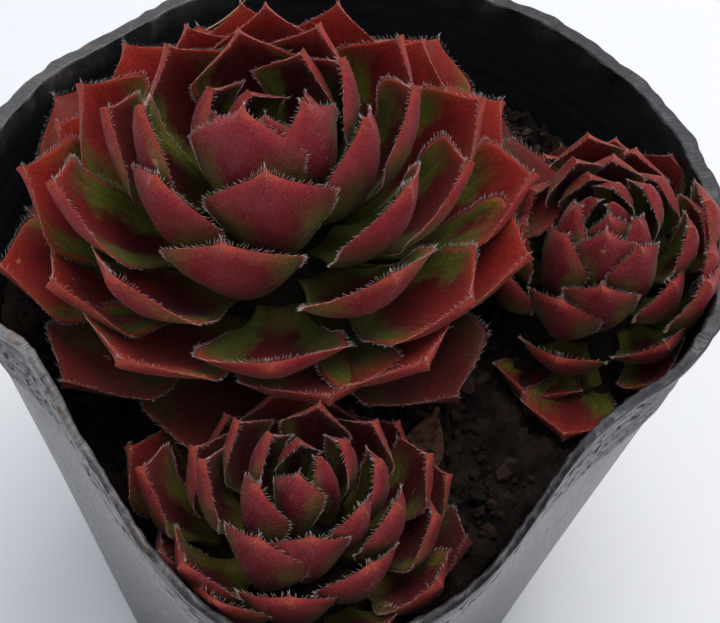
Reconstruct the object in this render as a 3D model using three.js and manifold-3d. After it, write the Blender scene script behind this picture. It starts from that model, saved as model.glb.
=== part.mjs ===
// Potted houseleek: three dark red rosettes growing in a thin, soft nursery pot.
// Millimetres, +Z up, origin at the middle of the pot's underside, front of the pot towards -Y.

import * as THREE from 'three';
import { mergeVertices } from 'three/addons/utils/BufferGeometryUtils.js';
import Module from 'manifold-3d';

// ---------------------------------------------------------------- driving dimensions

const GAP = 0.3;                 // clearance between pieces that touch
const SLIVER = 0.05;             // facets thinner than this are merged away

const POT_HEIGHT = 93;
const BASE_RADIUS = 40;          // inside of the wall at the underside
const RIM_RADIUS = 52.4;         // inside of the wall at the rim, where the rim is still round
const WALL = 0.8;
const FLOOR = 1.2;
const LIP_WIDTH = 2.5;           // flat lip, measured from the inside of the wall
const LIP_DEPTH = 1.6;
const RINGS = [5, 8, 11, 14];    // fine moulded rings, this far below the rim
const RING_PROUD = 0.45;
const RING_HALF = 0.7;
const DRAIN_HOLES = 6;
const DRAIN_RADIUS = 3.5;
const DRAIN_CIRCLE = 28;
const POT_SEGMENTS = 50;

// The soft rim is squeezed out of round: a spout-like bulge in front, shallow dents beside it.
const BULGE = { angle: -90, depth: 16.6, half: 23.5, power: 2.2 };
const DENTS = [
  { angle: -139, depth: -3.2, half: 14 },
  { angle: -50, depth: -1.6, half: 14 },
  { angle: -24, depth: 1.4, half: 15 },
  { angle: 30, depth: -1.0, half: 22 },
  { angle: 138, depth: -2.4, half: 14 },
  { angle: 195, depth: 1.6, half: 16 },
];
const RIM_DIP = 3;               // the bulged front of the rim sits this much lower
const RIM_SHIFT = 3.5;           // the soft pot leans: its rim sits this far towards +X of its base

const SOIL_DEPTH = 17;           // surface of the soil below the rim
const SOIL_RELIEF = 1.2;
const WALL_ROOM = 1.2;           // leaf points stop this far short of the wall
const STEM_SINK = 8;             // a stem stands this deep in the soil
const SOIL_TOP = POT_HEIGHT - SOIL_DEPTH;
const SOIL_SHARE = SOIL_TOP / POT_HEIGHT;
const WALL_SHARES = [0.22, 0.36, 0.5, 0.65];  // heights at which the wall's curve is followed
const SOIL_RINGS = [0.82, 0.6, 0.3];          // rings of points across the soil's surface

const ROOT_WIDTH = 0.34;         // a leaf's width at its root, as a share of its widest
const WIDEST = 0.77;             // where along its length a leaf is widest
const SHOULDER = 1.45;           // nearer 1 the shoulders are squarer
const TIP_POWER = 1.7;           // above 1 the margins are hollow towards the point

// Each rosette: its middle, the height of its lowest tips from the rim, its lean about X and Y,
// how many leaves it has and how many of them are still growing outwards (the last ones wither
// under the others), the turn from each leaf to the next older one, how far the tips reach out
// and rise from the oldest leaf to the youngest (the youngest stand in a shallow hollow), the
// side on which its leaves give way to a neighbour, and the short thick axis that carries them,
// from coreFoot to coreTop above the lowest tips. slim makes the young leaves narrower, bow is
// how far the youngest and the oldest bend, as a share of their length. strays lists the leaves
// that grew away from the rule: their turn in degrees, then reach and rise in millimetres.
const ROSETTES = [
  {
    name: 'rosette_main', middle: [-8.9, -5], tips: -0.5, lean: [3.1, -2.6],
    leaves: 56, grown: 49, turn: -137.65, phase: 271.4,
    reach: 42.4, reachPower: 0.76, rise: 27, risePower: 1.45, hollow: 7, hollowAge: 0.135,
    halfWidth: 10.2, slim: 0.18, thick: 2.6, bow: [0.44, 0.17], crowd: { angle: -85, share: 0.12 },
    core: 15, coreTop: 8, coreFoot: -9, stem: 5,
    strays: {
      4: [-22, 1.5, 0], 5: [11, -1, 2.5], 6: [-1, -2, -1], 8: [6, -4, 3.5], 11: [-3, 1, 1],
      12: [6, -0.5, 0], 13: [-9, -1, 1.5], 18: [7, 2.5, 0], 21: [2, 1, -1], 23: [-1, 2, -1],
      24: [-3, 3, 1.5], 26: [14, 4, -0.5], 27: [3, 1, 0], 29: [-5, 3, 0.5], 31: [-4, 6, -4],
      32: [0, 2.5, 1], 34: [4, 2.5, -2], 39: [0, 2.5, -1.5], 40: [-5, -3, 1], 42: [-6, 0, 2.5],
      44: [3, -4, 2.5], 47: [3, -2.5, 1.5], 52: [-3, 0, -1], 53: [0, -4, -1.5],
    },
  },
  {
    name: 'rosette_right', middle: [37.6, -5.6], tips: -9, lean: [12, -8],
    leaves: 41, grown: 39, turn: 137.3, phase: 6.4,
    reach: 24.4, reachPower: 0.93, rise: 20, risePower: 1.3, hollow: 3.6, hollowAge: 0.13,
    halfWidth: 6.5, slim: 0.3, thick: 2.4, bow: [0.28, 0.42], crowd: { angle: 165, share: 0.3 },
    core: 13.5, coreTop: 3, coreFoot: -5, stem: 3.1,
    strays: {
      5: [-13, 0.5, -0.5], 7: [22, -0.5, 0.5], 9: [-39, 0.5, 2], 12: [3, -2, 0], 13: [-7, 2, -0.5],
      14: [24, 1.5, -1.5], 16: [-4, -1, -0.5], 18: [-7, 0, -1], 19: [-3, 1.5, 1.5], 20: [7, -0.5, 0],
      23: [6, 3, -1], 24: [8, -1, 0], 26: [-13, 6.5, -0.5], 29: [-18, 5, -1], 31: [-8, 2, -1.5],
      33: [24, 3, -3], 34: [-12, 4.5, -2], 36: [-15, 4.5, 1.5], 37: [11, -1, 0.5], 38: [69, 6, -3],
    },
  },
  {
    name: 'rosette_front', middle: [-3.1, -48.4], tips: -9.5, lean: [-8, 3],
    leaves: 36, grown: 34, turn: 137.95, phase: 339,
    reach: 21.8, reachPower: 0.73, rise: 15, risePower: 1.15, hollow: 3.8, hollowAge: 0.2,
    halfWidth: 6.9, slim: 0.3, thick: 2.4, bow: [0.3, 0.38], crowd: { angle: 90, share: 0.15 },
    core: 12.2, coreTop: 0, coreFoot: -5.5, stem: 3,
    strays: {
      4: [-14, -0.5, 0.5], 5: [5, 3, -1.5], 6: [-4, 1, 1], 9: [12, 1.5, 0], 10: [-4, 1, -1],
      11: [-13, 1, -1], 12: [-7, 1.5, 1], 14: [0, 1, 1], 15: [-1, -1, 0.5], 16: [-8, 2.5, -0.5],
      20: [3, 2.5, -1.5], 21: [-4, 0.5, -1], 23: [-8, -1, 0.5], 25: [-9, 1.5, 2.5], 26: [2, 1.5, 0],
      30: [5, 3.5, 0.5], 33: [-3, -1.5, 1.5], 34: [4, -2, 1.5], 35: [5, 1.5, 0.5],
    },
  },
];

const DEAD_LEAVES = [
  { name: 'dead_leaf_left', at: [-15, -37], angle: 175, length: 17, halfWidth: 3.2, curl: 3.5 },
  { name: 'dead_leaf_middle', at: [12, -34], angle: 70, length: 12, halfWidth: 3, curl: 3 },
];

// ---------------------------------------------------------------- small helpers

const wasm = await Module();
wasm.setup();

const rad = THREE.MathUtils.degToRad;
const lerp = THREE.MathUtils.lerp;
const smooth = (x, low, high) => THREE.MathUtils.smoothstep(x, low, high);

// The same "random" number between -1 and 1 for the same leaf and purpose, every time.
function jitter(index, purpose) {
  const wave = Math.sin((index + 1) * 12.9898 + purpose * 78.233) * 43758.5453;
  return 2 * (wave - Math.floor(wave)) - 1;
}

// Closed solid from points on rings: each ring joins the next, poles are rings of one point.
function skin(rings) {
  const points = rings.flat();
  const starts = [];
  let total = 0;
  for (const ring of rings) {
    starts.push(total);
    total += ring.length;
  }
  const faces = [];
  for (let k = 0; k + 1 < rings.length; k += 1) {
    const here = rings[k].length;
    const next = rings[k + 1].length;
    const count = Math.max(here, next);
    for (let j = 0; j < count; j += 1) {
      const a = starts[k] + (j % here);
      const b = starts[k] + ((j + 1) % here);
      const c = starts[k + 1] + (j % next);
      const d = starts[k + 1] + ((j + 1) % next);
      if (here > 1) faces.push(a, b, d);
      if (next > 1) faces.push(a, d, c);
    }
  }
  const geometry = new THREE.BufferGeometry();
  geometry.setAttribute('position', new THREE.Float32BufferAttribute(points.flat(), 3));
  geometry.setIndex(faces);
  return geometry;
}

function toSolid(geometry) {
  const plain = geometry.clone();
  plain.deleteAttribute('normal');
  plain.deleteAttribute('uv');
  const merged = mergeVertices(plain, 1e-5);
  return new wasm.Manifold(new wasm.Mesh({
    numProp: 3,
    vertProperties: new Float32Array(merged.attributes.position.array),
    triVerts: new Uint32Array(merged.index.array),
  }));
}

function toGeometry(solid) {
  const mesh = solid.getMesh();
  const geometry = new THREE.BufferGeometry();
  geometry.setAttribute('position', new THREE.Float32BufferAttribute(mesh.vertProperties, 3));
  geometry.setIndex(Array.from(mesh.triVerts));
  return geometry;
}

// Keeps the outermost body, so that closed pockets between leaves are filled, without slivers.
function outermost(solid) {
  const bodies = solid.simplify(SLIVER).decompose();
  return bodies.reduce((best, body) => (body.volume() > best.volume() ? body : best));
}

// ---------------------------------------------------------------- pot

function angleFrom(angle, centre) {
  const turn = (angle - centre) % 360;
  return Math.abs(turn > 180 ? turn - 360 : turn < -180 ? turn + 360 : turn);
}

function bulge(angle) {
  return Math.exp(-((angleFrom(angle, BULGE.angle) / BULGE.half) ** BULGE.power));
}

function rimHeight(angle) {
  return POT_HEIGHT - RIM_DIP * bulge(angle);
}

// Inside radius of the wall: a round cone, pushed out of round more and more towards the rim.
function innerRadius(angle, height) {
  const share = height / POT_HEIGHT;
  let push = BULGE.depth * bulge(angle);
  for (const dent of DENTS) {
    push += dent.depth * Math.exp(-((angleFrom(angle, dent.angle) / dent.half) ** 2));
  }
  return lerp(BASE_RADIUS, RIM_RADIUS, share) + push * smooth(share, 0.12, 1.05);
}

// Wall profile from the middle of the underside, up the outside, over the lip and down inside.
// Each entry: share of the way up, drop below that height, and radius added to the inside wall.
function potProfile() {
  const profile = [
    { up: 0, drop: 0, out: WALL - 1 },
    { up: 0, drop: -1.2, out: WALL },
    ...WALL_SHARES.map((up) => ({ up, drop: 0, out: WALL })),
  ];
  for (const below of [...RINGS].reverse()) {
    profile.push(
      { up: 1, drop: below + RING_HALF, out: WALL },
      { up: 1, drop: below, out: WALL + RING_PROUD },
      { up: 1, drop: below - RING_HALF, out: WALL },
    );
  }
  profile.push(
    { up: 1, drop: LIP_DEPTH, out: WALL },
    { up: 1, drop: LIP_DEPTH, out: LIP_WIDTH },
    { up: 1, drop: 0, out: LIP_WIDTH },
    { up: 1, drop: 0, out: 0 },
    { up: SOIL_SHARE, drop: 0, out: 0 },
    ...[...WALL_SHARES].reverse().map((up) => ({ up, drop: 0, out: 0 })),
    { up: 0, drop: -FLOOR, out: 0 },
  );
  return profile;
}

// A point round the pot's axis, which leans from under the rim's middle towards the base.
function turnedPoint(degrees, radius, height) {
  const lean = -RIM_SHIFT * (1 - height / POT_HEIGHT);
  return [radius * Math.cos(rad(degrees)) + lean, radius * Math.sin(rad(degrees)), height];
}

function makePot() {
  const rings = [[turnedPoint(0, 0, 0)]];
  for (const { up, drop, out } of potProfile()) {
    const ring = [];
    for (let j = 0; j < POT_SEGMENTS; j += 1) {
      const angle = (360 * j) / POT_SEGMENTS;
      const height = up * rimHeight(angle) - drop;
      ring.push(turnedPoint(angle, innerRadius(angle, height) + out, height));
    }
    rings.push(ring);
  }
  rings.push([turnedPoint(0, 0, FLOOR)]);
  let pot = toSolid(skin(rings));
  for (let k = 0; k < DRAIN_HOLES; k += 1) {
    const drill = new THREE.CylinderGeometry(DRAIN_RADIUS, DRAIN_RADIUS, 4 * FLOOR, 12);
    drill.rotateX(Math.PI / 2);
    drill.translate(...turnedPoint((360 * k) / DRAIN_HOLES, DRAIN_CIRCLE, 0));
    pot = pot.subtract(toSolid(drill));
  }
  return pot;
}

// ---------------------------------------------------------------- soil

function soilHeight(x, y) {
  const lumps = Math.sin(x * 0.21 + 1.3) * Math.cos(y * 0.19)
    + 0.6 * Math.sin(x * 0.47 - y * 0.39)
    + 0.4 * Math.cos(x * 0.83 + y * 0.71);
  return SOIL_TOP + SOIL_RELIEF * 0.6 * lumps;
}

function makeSoil() {
  const wallRing = (share) => {
    const ring = [];
    for (let j = 0; j < POT_SEGMENTS; j += 1) {
      const angle = (360 * j) / POT_SEGMENTS;
      const height = share > 0 ? share * rimHeight(angle) : FLOOR + GAP;
      ring.push(turnedPoint(angle, innerRadius(angle, height) - 2.4 * GAP, height));
    }
    return ring;
  };
  const topRing = (share) => {
    const ring = [];
    for (let j = 0; j < POT_SEGMENTS; j += 1) {
      const angle = (360 * j) / POT_SEGMENTS;
      const [x, y] = turnedPoint(angle, share * innerRadius(angle, SOIL_TOP), SOIL_TOP);
      ring.push([x, y, soilHeight(x, y)]);
    }
    return ring;
  };
  const [middleX] = turnedPoint(0, 0, SOIL_TOP);
  const rings = [
    [turnedPoint(0, 0, FLOOR + GAP)], wallRing(0), ...WALL_SHARES.map(wallRing), wallRing(SOIL_SHARE),
    ...SOIL_RINGS.map(topRing), [[middleX, 0, soilHeight(middleX, 0)]],
  ];
  let soil = toSolid(skin(rings));
  for (const rosette of ROSETTES) {
    const radius = rosette.stem + GAP;
    const hole = new THREE.CylinderGeometry(radius, radius, 4 * STEM_SINK, 16);
    hole.rotateX(Math.PI / 2);
    hole.translate(...rosette.middle, SOIL_TOP - STEM_SINK - GAP + 2 * STEM_SINK);
    soil = soil.subtract(toSolid(hole));
  }
  return outermost(soil);
}

// ---------------------------------------------------------------- rosettes

function rosettePlace({ lean, middle, tips }) {
  const place = new THREE.Matrix4().makeRotationFromEuler(new THREE.Euler(rad(lean[0]), rad(lean[1]), 0));
  return place.setPosition(...middle, POT_HEIGHT + tips);
}

// Half width of a leaf at share s of its length, from root 0 to point 1, widest as 1.
function leafWidth(s) {
  if (s < WIDEST) return lerp(ROOT_WIDTH, 1, Math.sin((0.5 * Math.PI * s) / WIDEST) ** 1.6);
  return (1 - ((s - WIDEST) / (1 - WIDEST)) ** SHOULDER) ** TIP_POWER;
}

// How far a leaf can reach from a rosette's middle before it meets the wall. A leaf point that
// is higher than the rim may lean out over the lip.
function roomFor([x, y], azimuth, height) {
  const overhang = THREE.MathUtils.clamp(height, 0, 3.5);
  const step = 0.5;
  let reach = 0;
  for (;;) {
    const px = x + reach * Math.cos(rad(azimuth));
    const py = y + reach * Math.sin(rad(azimuth));
    const angle = THREE.MathUtils.radToDeg(Math.atan2(py, px));
    if (Math.hypot(px, py) > innerRadius(angle, POT_HEIGHT) - WALL_ROOM + overhang) return reach;
    reach += step;
  }
}

const LEAF_STATIONS = [0, 0.38, 0.62, 0.77, 0.9];

// One leaf runs from its root on the core to its point on the rosette's dome, on a curve that
// sags below the straight line, so its upper face is hollow. extra thickens it all round.
function leafRings(rosette, index, extra) {
  const age = (index + 0.5) / rosette.grown;
  const spread = Math.min(age, 1);
  const [strayTurn, strayReach, strayRise] = rosette.strays[index] ?? [0, 0, 0];
  const azimuth = rosette.phase + rosette.turn * index + 3 * jitter(index, 1) + strayTurn;
  const facing = Math.max(0, Math.cos(rad(azimuth - rosette.crowd.angle)));
  const give = rosette.crowd.share * facing ** 2 * spread;
  const wanted = rosette.reach * spread ** rosette.reachPower * (1 - give)
    * (1 + 0.04 * jitter(index, 2)) + strayReach;
  const height = rosette.rise * (1 - age ** rosette.risePower) + 0.5 * jitter(index, 3)
    - rosette.hollow * Math.exp(-((age / rosette.hollowAge) ** 1.5))
    + 0.25 * give * rosette.reach + strayRise;
  const reach = Math.min(wanted, roomFor(rosette.middle, azimuth, rosette.tips + height));
  const rise = height + 0.8 * (wanted - reach);
  const root = new THREE.Vector2(
    (0.12 + 0.85 * spread ** 0.8) * rosette.core,
    lerp(rosette.coreFoot, rosette.coreTop, (1 - spread) ** 1.6));
  const point = new THREE.Vector2(reach, rise);
  const chord = point.clone().sub(root);
  const length = chord.length();
  const droop = THREE.MathUtils.clamp((age - 0.75) / 0.25, 0, 1);
  const bow = lerp(...rosette.bow, spread) * (1 - 0.7 * droop);
  const sag = new THREE.Vector2(chord.y, -chord.x).multiplyScalar(bow);
  const bend = root.clone().lerp(point, 0.5).add(sag);
  const curve = new THREE.QuadraticBezierCurve(root, bend, point);
  const halfWidth = Math.min(rosette.halfWidth * spread ** rosette.slim, 0.48 * length);
  const thick = rosette.thick * lerp(0.75, 1, spread);
  const cup = lerp(0.45, 0.21, Math.sqrt(spread));
  const roll = rad(7 * jitter(index, 4));
  const out = new THREE.Vector3(Math.cos(rad(azimuth)), Math.sin(rad(azimuth)), 0);
  const side = new THREE.Vector3(-out.y, out.x, 0);
  const place = (s, across, up) => {
    const middle = curve.getPoint(s);
    const tangent = curve.getTangent(s);
    const lift = up * Math.cos(roll) + across * Math.sin(roll);
    const shift = across * Math.cos(roll) - up * Math.sin(roll);
    const radial = middle.x - tangent.y * lift;
    return [
      out.x * radial + side.x * shift,
      out.y * radial + side.y * shift,
      middle.y + tangent.x * lift,
    ];
  };
  const rings = [[place(0, 0, -0.5 * thick)]];
  for (const s of LEAF_STATIONS) {
    const wide = halfWidth * leafWidth(s) + extra;
    const body = thick * (1 - 0.55 * s) + extra;
    rings.push([
      place(s, -wide, cup * wide),
      place(s, 0, -body),
      place(s, wide, cup * wide),
      place(s, 0, extra),
    ]);
  }
  rings.push([place(1, 0, 0)]);
  return rings;
}

// The room a plant has: inside the wall below the rim, anywhere above it.
function makeRoom() {
  const around = (radiusAt, heightAt) => {
    const ring = [];
    for (let j = 0; j < POT_SEGMENTS; j += 1) {
      const angle = (360 * j) / POT_SEGMENTS;
      ring.push(turnedPoint(angle, radiusAt(angle), heightAt(angle)));
    }
    return ring;
  };
  const inside = (share) => around(
    (angle) => innerRadius(angle, share * POT_HEIGHT) - 3 * GAP, () => share * POT_HEIGHT);
  const overRim = (angle) => rimHeight(angle) + GAP;
  return toSolid(skin([
    [[0, 0, 0.6 * POT_HEIGHT]],
    inside(0.6), inside(0.85),
    around((angle) => innerRadius(angle, POT_HEIGHT) - 3 * GAP, overRim),
    around(() => 2 * RIM_RADIUS, overRim),
    around(() => 2 * RIM_RADIUS, () => 2 * POT_HEIGHT),
    [[0, 0, 2 * POT_HEIGHT]],
  ]));
}

function makeRosette(rosette, extra = 0) {
  const { stem } = rosette;
  const foot = SOIL_TOP - STEM_SINK;
  const place = rosettePlace(rosette);
  const profile = [
    [0, rosette.coreFoot - 4], [stem, rosette.coreFoot - 4], [rosette.core, rosette.coreFoot + 1],
    [0.8 * rosette.core, lerp(rosette.coreFoot, rosette.coreTop, 0.45)],
    [0.35 * rosette.core, rosette.coreTop], [0, rosette.coreTop + 1],
  ];
  const core = new THREE.LatheGeometry(profile.map(([x, y]) => new THREE.Vector2(x, y)), 12);
  core.rotateX(Math.PI / 2);
  const bodies = [toSolid(core.applyMatrix4(place))];
  for (let index = 0; index < rosette.leaves; index += 1) {
    bodies.push(toSolid(skin(leafRings(rosette, index, extra)).applyMatrix4(place)));
  }
  const top = new THREE.Vector3(0, 0, rosette.coreFoot).applyMatrix4(place).z;
  const shaft = new THREE.CylinderGeometry(stem, stem, top - foot, 12);
  shaft.rotateX(Math.PI / 2);
  shaft.translate(...rosette.middle, 0.5 * (top + foot));
  bodies.push(toSolid(shaft));
  return wasm.Manifold.union(bodies);
}

// ---------------------------------------------------------------- dead leaves on the soil

function makeDeadLeaf({ at, angle, length, halfWidth, curl }) {
  const out = new THREE.Vector2(Math.cos(rad(angle)), Math.sin(rad(angle)));
  const thick = 0.9;
  const ground = soilHeight(...at) + thick;
  const rings = [];
  for (const s of [0.04, 0.3, 0.6, 0.85]) {
    const wide = halfWidth * Math.sin(Math.PI * Math.min(s + 0.1, 0.93));
    const height = ground + curl * (2 * s - 0.9) ** 2;
    const point = (across, up) => [
      at[0] + out.x * length * (s - 0.5) - out.y * across,
      at[1] + out.y * length * (s - 0.5) + out.x * across,
      height + up,
    ];
    rings.push([point(-wide, 0.35 * wide), point(0, -thick), point(wide, 0.35 * wide), point(0, 0)]);
  }
  const end = (s, up) => [[at[0] + out.x * length * (s - 0.5), at[1] + out.y * length * (s - 0.5), up]];
  rings.unshift(end(0, ground + curl * 0.8));
  rings.push(end(1, ground + curl * 1.2));
  return toSolid(skin(rings));
}

// ---------------------------------------------------------------- assembly

const houseleek = new THREE.Group();
houseleek.position.x = RIM_SHIFT;   // everything above is placed from the middle of the rim

function add(name, solid, color, roughness) {
  const mesh = new THREE.Mesh(
    toGeometry(solid),
    new THREE.MeshStandardMaterial({ color, roughness, metalness: 0, flatShading: true }),
  );
  mesh.name = name;
  houseleek.add(mesh);
}

const pot = makePot();
const soil = makeSoil();
const raisedSoil = soil.translate([0, 0, 0.9 * GAP]);
const room = makeRoom();

add('pot', pot, 0x1c1d20, 0.45);
add('soil', soil, 0x2a1c12, 0.95);

let taken = raisedSoil;
for (const rosette of ROSETTES) {
  const plant = makeRosette(rosette).intersect(room).subtract(taken);
  add(rosette.name, outermost(plant), 0x7c1f22, 0.55);
  taken = taken.add(makeRosette(rosette, GAP));
}
for (const leaf of DEAD_LEAVES) {
  add(leaf.name, outermost(makeDeadLeaf(leaf).subtract(taken)), 0x4a2a20, 0.9);
}

export default houseleek;
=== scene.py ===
"""Potted houseleek: three dark red rosettes in a thin, soft nursery pot."""

import math
from functools import reduce

import bpy
import numpy as np
from mathutils import Matrix, Vector


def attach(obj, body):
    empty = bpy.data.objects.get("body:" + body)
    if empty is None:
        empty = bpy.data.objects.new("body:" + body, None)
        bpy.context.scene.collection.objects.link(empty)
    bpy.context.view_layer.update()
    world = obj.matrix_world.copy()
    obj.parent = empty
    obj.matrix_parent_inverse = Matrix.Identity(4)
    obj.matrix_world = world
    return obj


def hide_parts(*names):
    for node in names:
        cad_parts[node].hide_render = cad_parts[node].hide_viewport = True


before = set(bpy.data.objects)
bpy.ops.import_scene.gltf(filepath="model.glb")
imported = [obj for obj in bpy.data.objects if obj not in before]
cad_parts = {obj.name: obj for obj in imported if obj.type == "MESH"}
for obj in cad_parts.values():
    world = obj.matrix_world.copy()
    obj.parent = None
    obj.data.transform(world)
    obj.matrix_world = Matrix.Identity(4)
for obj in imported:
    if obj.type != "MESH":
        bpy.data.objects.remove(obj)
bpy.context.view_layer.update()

# ---------------------------------------------------------------- viewpoint
# The plant is looked at from in front and well above, from less than two hand's breadths away,
# with a lens long enough to keep the leaves in proportion.

MM = 0.001
POT_HEIGHT = 93.0
RIM_SHIFT = 3.5                    # the soft pot leans: its rim sits this far to +X of its base

LENS_MM = 60.0
SENSOR_MM = 36.0
PICTURE = (720, 623)
VIEW_DISTANCE = 172.0
CLOSEST_SEEN = 5.0
VIEW_DOWN = math.radians(49.3)
VIEW_ROLL = math.radians(1.8)
RIM_MIDDLE_IN_PICTURE = (342.5, 187.3)

forward = Vector((0, math.cos(VIEW_DOWN), -math.sin(VIEW_DOWN)))
level_right = Vector((1, 0, 0))
level_up = level_right.cross(forward)
right = math.cos(VIEW_ROLL) * level_right + math.sin(VIEW_ROLL) * level_up
up = -math.sin(VIEW_ROLL) * level_right + math.cos(VIEW_ROLL) * level_up
mm_per_pixel = VIEW_DISTANCE * SENSOR_MM / LENS_MM / PICTURE[0]
aside = (RIM_MIDDLE_IN_PICTURE[0] - PICTURE[0] / 2) * mm_per_pixel
above = (PICTURE[1] / 2 - RIM_MIDDLE_IN_PICTURE[1]) * mm_per_pixel
rim_middle = Vector((RIM_SHIFT, 0, POT_HEIGHT))
eye = rim_middle - VIEW_DISTANCE * forward - aside * right - above * up

camera = bpy.data.objects.new("camera", bpy.data.cameras.new("camera"))
camera.data.sensor_width = SENSOR_MM
camera.data.lens = LENS_MM
camera.data.clip_start = CLOSEST_SEEN * MM
turned = Matrix((right, up, -forward)).transposed()
camera.matrix_world = Matrix.Translation(eye * MM) @ turned.to_4x4()
scene = bpy.context.scene
scene.collection.objects.link(camera)
scene.camera = camera

# ---------------------------------------------------------------- table and light
# A plain pale table top under soft studio light: one wide panel overhead to the right, a
# weaker one to the right of the camera, and a pale room all round.

PICTURE_GAMMA = 0.90
PANEL_SIZE = 380.0
PANEL_AIM = (0, 0, 80)
ROOM_COLOUR = (0.90, 0.93, 1.0)
ROOM_STRENGTH = 0.80
TABLE_HALF = 1500.0
TABLE_COLOUR = (0.87, 0.87, 0.88)

scene.view_settings.view_transform = "Standard"
scene.view_settings.gamma = PICTURE_GAMMA


def plug(tree, socket, value):
    """Joins a socket to another socket, or sets it to a constant."""
    if isinstance(value, bpy.types.NodeSocket):
        tree.links.new(value, socket)
    elif socket.type == "RGBA":
        socket.default_value = (*value[:3], 1.0)
    else:
        socket.default_value = value


def feed(tree, node, **sockets):
    """Feeds several sockets of a node by name, underscores standing for spaces."""
    for label, value in sockets.items():
        plug(tree, node.inputs[label.replace("_", " ")], value)


def finish_of(name, **constants):
    """A new material with its Principled shader, whose sockets take the given constants."""
    material = bpy.data.materials.new(name)
    material.use_nodes = True
    shader = material.node_tree.nodes["Principled BSDF"]
    feed(material.node_tree, shader, **constants)
    return material, material.node_tree, shader


def panel(name, place, watts, colour):
    """A square soft light at place (mm) that faces the plant."""
    light = bpy.data.lights.new(name, "AREA")
    light.size = PANEL_SIZE * MM
    light.energy = watts
    light.color = colour
    holder = bpy.data.objects.new(name, light)
    aim = Vector(PANEL_AIM) - Vector(place)
    holder.matrix_world = (Matrix.Translation(Vector(place) * MM)
                           @ aim.to_track_quat("-Z", "Y").to_matrix().to_4x4())
    scene.collection.objects.link(holder)


def mesh_of(name, points, blocks):
    """A mesh from points in mm and blocks of faces, each block an array with a face per row."""
    mesh = bpy.data.meshes.new(name)
    faces = [face for block in blocks for face in np.asarray(block).tolist()]
    mesh.from_pydata((np.asarray(points) * MM).tolist(), [], faces)
    return mesh


panel("panel_overhead", (120, 120, 640), 1.8, (1.0, 0.985, 0.96))
panel("panel_right", (520, -160, 420), 0.2, (0.93, 0.96, 1.0))

scene.world = bpy.data.worlds.new("pale_room")
scene.world.use_nodes = True
room = scene.world.node_tree
feed(room, room.nodes["Background"], Color=ROOM_COLOUR, Strength=ROOM_STRENGTH)

table_corners = TABLE_HALF * np.array([(-1, -1, 0), (1, -1, 0), (1, 1, 0), (-1, 1, 0)])
table = bpy.data.objects.new("table", mesh_of("table", table_corners, [[(0, 1, 2, 3)]]))
scene.collection.objects.link(table)
table_finish, _, _ = finish_of("table_top", Base_Color=TABLE_COLOUR, Roughness=0.85)
table.data.materials.append(table_finish)

# ---------------------------------------------------------------- pot
# A blow-moulded nursery pot of thin black polypropylene: a flat floor with drainage holes, a wall
# with fine moulded rings, and a narrow flat lip. It is soft enough to be squeezed out of round, to
# a spout-like bulge with dents beside it, and its front is scuffed, pitted and dusty. A painted
# reflection of the pale room lies over the front of the wall, and painted highlights on two
# stretches of the lip.

BASE_RADIUS = 40.0
RIM_RADIUS = 52.4
WALL = 0.8
FLOOR = 1.2
LIP_WIDTH = 2.5
LIP_DEPTH = 1.6
LIP_INNER_EDGE = 0.4
RING_STEP = 3.0
RING_DROPS = 5.0 + RING_STEP * np.arange(4)
RING_PROUD = 0.45
RING_HALF = 0.7
RIM_DIP = 3.0
DRAIN_HOLES = 6
DRAIN_RADIUS = 3.5
DRAIN_CIRCLE = 28.0
DRILL_CORNERS = 32
POT_COLUMNS = 400
POT_SEAM = 200.0                   # the map's seam, at the side that faces away

# Bells round the pot, as angle, half width in degrees and, where it isn't 2, squareness. Round the
# front the lip is tucked in; the front of the wall is scuffed pale and carries a painted reflection,
# and two stretches of lip are scuffed and carry painted highlights.
BULGE_BELL = (-90.0, 23.5, 2.2)
BULGE_DEPTH = 16.6
DENTS = (((-139.0, 14.0), -3.2), ((-50.0, 14.0), -1.6), ((-24.0, 15.0), 1.4),
         ((30.0, 22.0), -1.0), ((138.0, 14.0), -2.4), ((195.0, 16.0), 1.6))
TUCKED = (-98.0, 72.0, 6)
TUCK = 0.75                        # share of the lip's width that is drawn in
SCUFF_AND_REFLECTION_FRONT = (-105.0, 75.0, 6)
SCUFF_AND_HIGHLIGHT_LIP_LEFT = (-148.0, 34.0)
SCUFF_AND_HIGHLIGHT_LIP_BACK = (142.0, 34.0)
MUDDY_LEFT = (-150.0, 38.0)
MUDDY_LIP_BACK = (140.0, 30.0)

# How far under the rim other marks lie: pits round the middle of the rings, darker grooves between
# two depths, and the pale scuffing with its painted reflection, which fades out lower down.
PITTED_MIDDLE = 9.0
PITTED_HALF = 7.0
GROOVED = (3.6, 15.5)
SCUFF_AND_REFLECTION_DOWN_TO = 82.5
SCUFF_AND_REFLECTION_FADE = 75.0

# Waviness of the wall near its rim, each as height in mm, size in mm, number of waves and seed.
RIPPLE = (0.16, 13.0, 14, 5)
CRUMPLE = (0.07, 4.5, 12, 6)
RAG = (0.16, 1.6, 24, 8)
WAVY_DEPTH = 22.0                  # how far down from the rim
RIM_WAVE = 0.10


def bell(angle, centre, half, squareness=2):
    """1 at the centre angle, falling to either side; high squareness gives it a flat top."""
    apart = np.abs((angle - centre + 180.0) % 360.0 - 180.0)
    return np.exp(-((apart / half) ** squareness))


def rim_height(angle):
    return POT_HEIGHT - RIM_DIP * bell(angle, *BULGE_BELL)


def inner_radius(angle, height):
    """Inside of the wall: a cone from BASE_RADIUS to RIM_RADIUS plus a push in or out at the
    bulge and each dent, each a bell curve round the pot that fades in towards the rim."""
    share = height / POT_HEIGHT
    push = BULGE_DEPTH * bell(angle, *BULGE_BELL)
    for place, depth in DENTS:
        push = push + depth * bell(angle, *place)
    rise = np.clip((share - 0.12) / 0.93, 0, 1)
    return BASE_RADIUS + (RIM_RADIUS - BASE_RADIUS) * share + push * rise * rise * (3 - 2 * rise)


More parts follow.
